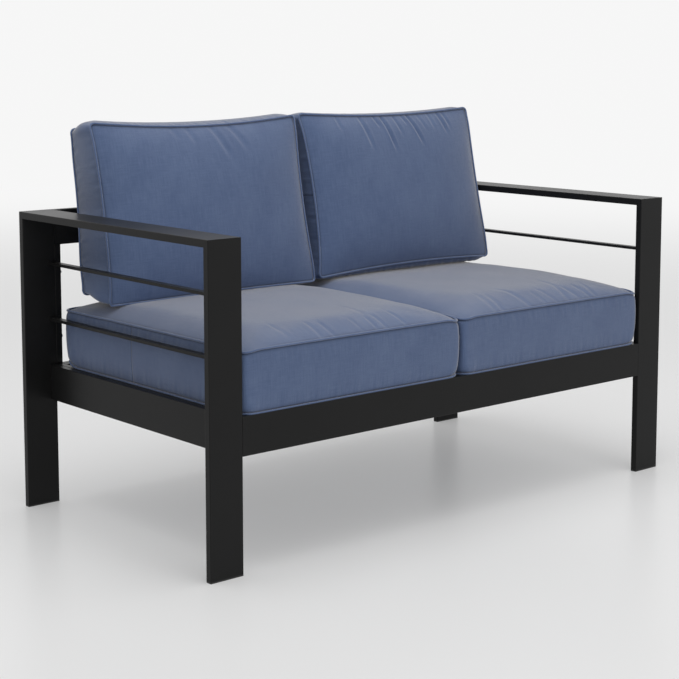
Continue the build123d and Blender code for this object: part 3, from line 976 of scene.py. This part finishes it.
outer_limit = {"seat": 571.6 * MM, "back": 566.0 * MM}
inner_limit = {"seat": 2.6 * MM, "back": 4.0 * MM}
seat_front, deck_top, seat_top = 338.5 * MM, 304.6 * MM, 457.5 * MM
pressed_starts, pressed_length, pressed_depth = 60 * MM, 80 * MM, 5 * MM
rail_starts, slat_face, rail_face = 645 * MM, 324.2 * MM, 340 * MM
back_foot = 452.5 * MM
for name, (cushion, points, parts) in cushions.items():
    shape = filled[name]
    kind = name.split("_")[1]
    sign = -1 if name.startswith("left") else 1
    away = ease_below(shape[:, 0] * sign, outer_limit[kind], 2 * MM)
    shape[:, 0] = -ease_below(-away, -inner_limit[kind], 2 * MM) * sign
    if kind == "seat":
        shape[:, 1] = -ease_below(-shape[:, 1], seat_front, 2 * MM)
        under_back = np.clip((shape[:, 1] - pressed_starts) / pressed_length, 0, 1)
        shape[:, 2] = ease_below(shape[:, 2], seat_top - pressed_depth * under_back, 6 * MM)
        shape[:, 2] = -ease_below(-shape[:, 2], -deck_top, 1 * MM)
    else:
        behind = np.where(shape[:, 2] < rail_starts, slat_face, rail_face)
        shape[:, 1] = ease_below(shape[:, 1], behind, 6 * MM)
        shape[:, 2] = -ease_below(-shape[:, 2], -back_foot, 3 * MM)
    lay_zip(name, shape, parts)
    cushion.data.vertices.foreach_set("co", shape.astype(np.float32).ravel())
    cushion.data.update()
    print(name, "box", shape.min(0).round(4), shape.max(0).round(4))

# %% [markdown]
# One subdivision rounds the patches off. The seams keep most of their sharpness, because their
# edges are marked as creases.

# %% Round the patches off


def subdivided(cushion, parts):
    """The cushion with one subdivision worked into its mesh."""
    mesh = cushion.data
    seam_of = np.zeros(len(mesh.vertices), int)
    seam_of[parts["front_loop"]] = 1
    seam_of[parts["rear_loop"]] = 2
    ends = np.zeros(len(mesh.edges) * 2, int)
    mesh.edges.foreach_get("vertices", ends)
    ends = seam_of[ends.reshape(-1, 2)]
    sharp = np.where((ends[:, 0] > 0) & (ends[:, 0] == ends[:, 1]), 0.4, 0.0)
    mesh.attributes.new("crease_edge", "FLOAT", "EDGE").data.foreach_set("value", sharp)
    smooth = cushion.modifiers.new("round_off", "SUBSURF")
    smooth.levels = smooth.render_levels = 1
    depsgraph = bpy.context.evaluated_depsgraph_get()
    fine = bpy.data.meshes.new_from_object(
        cushion.evaluated_get(depsgraph), preserve_all_data_layers=True, depsgraph=depsgraph
    )
    cushion.modifiers.clear()
    cushion.vertex_groups.clear()
    return fine


for name, (cushion, points, parts) in cushions.items():
    cushion.data = subdivided(cushion, parts)
    print(name, "patches after rounding", len(cushion.data.polygons))

# %% [markdown]
# ## Creases
# Where a cover was pulled over its foam by hand, short creases stay. The simulation gives a few,
# but not where the photograph shows them, so the rest are pressed in: a crease is a small
# valley with a ridge on each side, and it fades toward both ends.

# %% Shape of a crease
full_middle, full_half, fade_length = 0.3, 0.35, 0.2


def crease(x, y, start, end, width, depth):
    """Height of a crease from start to end at places on the flat panel."""
    start, end = np.array(start) * MM, np.array(end) * MM
    along = end - start
    length = np.linalg.norm(along)
    along = along / length
    t = ((x - start[0]) * along[0] + (y - start[1]) * along[1]) / length
    aside = ((y - start[1]) * along[0] - (x - start[0]) * along[1]) / (width * MM)
    fade = np.exp(-((np.clip(abs(t - full_middle) - full_half, 0, None) / fade_length) ** 2))
    return -depth * MM * (1 - 1.5 * aside**2) * np.exp(-(aside**2)) * fade


print("crease depth at its middle", crease(0.0, 0.0, (-5, 0), (5, 0), 6, 1.0) / MM, "mm")

# %% [markdown]
# Each crease below is a start at the seam, an end on the panel, a width and a depth, all in
# millimetres on the flat panel. Nearly all are creases that the photograph shows. Their ends were
# picked in it by eye, a helper program turned them into places on the panel with the camera above,
# and they were then drawn out by hand to the seam. Widths and depths were chosen one by one, and
# so were the places of two more on the seats.

# %% Press the creases in
back_creases = {
    "right": [
        ((-168, 192), (-156, 143), 7, 1.6),
        ((-96, 192), (-72, 88), 7, 2.8),
        ((-52, 192), (-35, 148), 5.5, 3.6),
        ((-26, 192), (0, 84), 6, 4.8),
        ((12, 192), (30, 126), 6, 2.4),
        ((38, 192), (54, 154), 5.5, 2.4),
        ((58, 192), (94, 96), 6, 3.8),
        ((92, 192), (114, 136), 6, 1.6),
        ((130, 192), (143, 138), 6, 1.8),
        ((162, 192), (183, 124), 6, 2.6),
        ((182, 192), (197, 140), 5.5, 2.2),
    ],
    "left": [
        ((-76, 182), (-54, 140), 10, 1.2),
        ((-34, 180), (-14, 130), 10, 1.7),
        ((32, 180), (73, 88), 11, 2.4),
        ((82, 180), (122, 108), 11, 2.0),
    ],
}
seat_creases = {
    "right": [
        ((-176, -300), (-157, -214), 9, 0.9),
        ((-157, -308), (-141, -232), 9, 1.0),
        ((-72, -314), (-92, -196), 10, 1.1),
        ((14, -304), (-2, -250), 8, 0.8),
        ((54, -314), (86, -164), 10, 1.2),
        ((92, -312), (76, -252), 9, 1.1),
        ((126, -306), (113, -256), 8, 1.0),
        ((147, -304), (150, -248), 8, 1.0),
        ((-20, -306), (-28, -262), 8, 0.7),
    ],
    "left": [
        ((82, -314), (77, -264), 6, 1.6),
        ((58, -314), (56, -266), 6, 1.5),
        ((134, -304), (123, -258), 6, 1.4),
        ((-87, -308), (-88, -250), 7, 1.4),
        ((-56, -314), (-62, -258), 7, 1.4),
        ((-160, -286), (-160, -226), 7, 1.1),
        ((20, -310), (14, -262), 6, 1.0),
        ((64, -244), (76, -168), 9, 0.9),
    ],
}


def unevenness(x, y, phase):
    """Slow rise and fall of a filled panel, between -1 and 1."""
    x, y = x / 0.1, y / 0.1
    waves = np.sin(1.3 * x + 0.7 * y + phase) + np.sin(2.1 * y - 0.9 * x + 2.4 * phase)
    waves += 0.6 * np.sin(3.1 * x + 1.9 * y + 0.7 * phase) + 0.4 * np.sin(4.3 * y - 2.7 * x - phase)
    return waves / 3


def pucker(along, phase):
    """Small uneven waves along a seam, where the stitches gather the cloth, between -1 and 1."""
    turns = 2 * math.pi * along / MM
    waves = np.sin(turns / 17 + phase) + np.sin(turns / 26 - 2 * phase) + 0.8 * np.sin(turns / 43 + 3 * phase)
    return waves / 2.8


def read_attribute(mesh, name):
    """The numbers written on the points of a mesh."""
    values = np.zeros(len(mesh.vertices), np.float32)
    mesh.attributes[name].data.foreach_get("value", values)
    return values.astype(float)


panel_creases = {"seat": seat_creases, "back": back_creases}
gather = {"seat": 0.45 * MM, "back": 1.1 * MM}
gather_reach, gather_starts = 26 * MM, 7 * MM
panel_rise = 1.6 * MM
for order, (name, (cushion, points, parts)) in enumerate(cushions.items()):
    mesh = cushion.data
    x, y = read_attribute(mesh, "flat_x"), read_attribute(mesh, "flat_y")
    on_front, seam = read_attribute(mesh, "on_front"), read_attribute(mesh, "seam_distance")
    side, kind = name.split("_")[:2]
    lift = sum(crease(x, y, *one) for one in panel_creases[kind][side])
    lift = lift * np.clip(seam / (9 * MM), 0, 1)
    lift += panel_rise * unevenness(x, y, 1.0 + order) * np.clip(seam / (60 * MM), 0, 1)
    lift *= on_front > 0.99
    places = np.zeros(len(mesh.vertices) * 3)
    mesh.vertices.foreach_get("co", places)
    places = places.reshape(-1, 3)
    outward = np.zeros(places.size)
    mesh.vertices.foreach_get("normal", outward)
    upward = 1 if kind == "seat" else 2
    along = places[:, 0] + places[:, upward] + 0.2 * places[:, 3 - upward]
    beside_seam = np.exp(-((seam / gather_reach) ** 2))
    gathered = gather[kind] * pucker(along, 0.7 + order) * beside_seam * np.clip(seam / gather_starts, 0, 1)
    gathered *= read_attribute(mesh, "on_boxing") * (1 - near_zip(name, places) * zip_side(name, places))
    places += gathered[:, None] * outward.reshape(-1, 3) + lift[:, None] * np.array(parts["front_out"])
    mesh.vertices.foreach_set("co", places.astype(np.float32).ravel())
    mesh.update()
    print(name, "deepest crease", round(float(-lift.min() / MM), 2), "mm")

# %% [markdown]
# Each cushion now rides on its body, and stands for the cover and the core of the CAD model.

# %% Hand the cushions to the frame
for name, (cushion, points, parts) in cushions.items():
    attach(cushion, name)
    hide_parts(f"{name}_cover", f"{name}_core")

# %% [markdown]
# ## Piping
# Piping is a thin cord in a strip of the same cloth, caught in the seam. It is a tube that
# follows the seam loop. It doesn't lie in the edge but stands half out of it, so a narrow dark
# line runs along it where cloth and piping meet.

# %% Piping along every seam


def finer(line, steps):
    """A closed line with more points, on smooth curves through the old ones."""
    before, here, after, next_after = (np.roll(line, k, 0)[:, None] for k in (1, 0, -1, -2))
    t = (np.arange(steps) / steps)[None, :, None]
    curve = 2 * here + (after - before) * t + (2 * before - 5 * here + 4 * after - next_after) * t**2
    curve = curve + (3 * here - before - 3 * after + next_after) * t**3
    return (curve / 2).reshape(-1, 3)


def cord_tube(name, line, outward, radius, sides=10):
    """Closed tube along a loop of points, with the cloth map running along it."""
    after = np.roll(line, -1, 0)
    forward = after - np.roll(line, 1, 0)
    forward /= np.linalg.norm(forward, axis=1)[:, None]
    outward = outward - (outward * forward).sum(1)[:, None] * forward
    outward /= np.linalg.norm(outward, axis=1)[:, None]
    third = np.cross(forward, outward)
    angles = np.linspace(0, 2 * math.pi, sides, endpoint=False)[None, :, None]
    ring = line[:, None] + radius * (np.cos(angles) * outward[:, None] + np.sin(angles) * third[:, None])
    along = np.concatenate([[0], np.cumsum(np.linalg.norm(after - line, axis=1))])
    girth = 2 * math.pi * radius / sides
    faces, places = [], []
    for k in range(len(line)):
        n = (k + 1) % len(line)
        for a in range(sides):
            b = (a + 1) % sides
            faces.append([k * sides + a, n * sides + a, n * sides + b, k * sides + b])
            v0, v1 = a * girth, (a + 1) * girth
            places += [(along[k], v0), (along[k + 1], v0), (along[k + 1], v1), (along[k], v1)]
    return cloth_mesh(name, ring.reshape(-1, 3), faces, places, piping_cloth)


stand_out = {"seat": 1.8 * MM, "back": 1.4 * MM}
for name, (cushion, points, parts) in cushions.items():
    for label in ("front", "rear"):
        ring = filled[name][parts[f"{label}_loop"]]
        out = np.array(parts[f"{label}_out"])
        turn = 1 if label == "front" else -1
        outward = outward_of(ring, out) * turn + out
        outward /= np.linalg.norm(outward, axis=1)[:, None]
        line = finer(ring + stand_out[name.split("_")[1]] * outward, 3)
        piece = bpy.data.objects.new(
            f"{name}_{label}_piping",
            cord_tube(f"{name}_{label}_piping", line, np.repeat(outward, 3, axis=0), piping_radius),
        )
        bpy.context.scene.collection.objects.link(piece)
        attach(piece, name)

# %% [markdown]
# ## Small parts
# The glides are moulded plastic with the fine grain of the mould, the bolts are zinc-plated steel,
# and the sliders are painted metal. All of them keep their CAD shape. They differ only in colour,
# gloss and grain, so one function makes all three from the same skin as the powder coat.

# %% A hard finish


def hard_finish(name, darker, lighter, dimples, roughness, spread, relief, **constants):
    """Two tones in patches, with the dimpled skin's roughness and bump."""
    material, tree, shader = new_material(name, **constants)
    skin_values = {"Dimples per metre": dimples, "Mean roughness": roughness, "Roughness spread": spread}
    skin = put_group(tree, dimpled_skin, {"Place": object_place(tree), **skin_values})
    strength, distance = relief
    bump = add(tree, "ShaderNodeBump", {"Height": skin["Height"], "Strength": strength, "Distance": distance})
    tree.links.new(blended(tree, skin["Patches"], darker, lighter), shader.inputs["Base Color"])
    tree.links.new(skin["Roughness"], shader.inputs["Roughness"])
    tree.links.new(bump.outputs[0], shader.inputs["Normal"])
    return material


print("hard finish ready")

# %% [markdown]
# Plastic is dull and coarse in grain. Zinc is a metal, so its colour is its reflection, in faintly
# spotted grey. The slider's paint matches the cloth, but darker.

# %% Plastic, zinc and slider paint
mould_black, mould_grey = (0.014, 0.014, 0.014, 1), (0.022, 0.022, 0.021, 1)
zinc_dark, zinc_light = (0.56, 0.57, 0.58, 1), (0.66, 0.66, 0.64, 1)
navy, navy_worn = (0.03, 0.04, 0.065, 1), (0.045, 0.055, 0.085, 1)

glide_plastic = hard_finish(
    "glide_plastic", mould_black, mould_grey, 1400.0, 0.55, 0.15, (0.3, 0.0004), Specular_IOR_Level=0.4
)
give("glide_plastic", glide_plastic)

zinc_plate = hard_finish("zinc_plate", zinc_dark, zinc_light, 2600.0, 0.32, 0.2, (0.25, 0.0002), Metallic=1.0)
give("zinc_steel", zinc_plate)

slider_paint = hard_finish(
    "zip_slider_paint", navy, navy_worn, 3000.0, 0.3, 0.1, (0.2, 0.0002), Metallic=0.0, Specular_IOR_Level=0.5
)
give("zip_slider_metal", slider_paint)

# %% [markdown]
# A zip is a nylon coil sewn on woven tape. The tape is the cover's weave in a darker blue, and the
# coil's teeth are too small for the camera, so a wave along the zip stands for them in the bump.

# %% Zip tape
tooth_pitch = 1.6 * MM
tape_blue, tape_slub = (0.035, 0.05, 0.095, 1), (0.06, 0.08, 0.14, 1)

zip_tape, tree, shader = new_material("zip_tape", Roughness=0.7, Specular_IOR_Level=0.35)
place = object_place(tree)
yarn = {"Cloth place": place, "Colour": tape_blue, "Thick thread": tape_slub, "Streaks": 0.4}
weave = put_group(tree, slub_weave, yarn)
across_teeth = add(tree, "ShaderNodeSeparateXYZ", {0: place}).outputs["X"]
teeth = sum_of(tree, "SINE", sum_of(tree, "MULTIPLY", across_teeth, 2 * math.pi / tooth_pitch))
bump = add(tree, "ShaderNodeBump", {"Height": teeth, "Strength": 0.5, "Distance": 0.0005})
tree.links.new(weave["Colour"], shader.inputs["Base Color"])
tree.links.new(bump.outputs[0], shader.inputs["Normal"])
give("zip_tape", zip_tape)
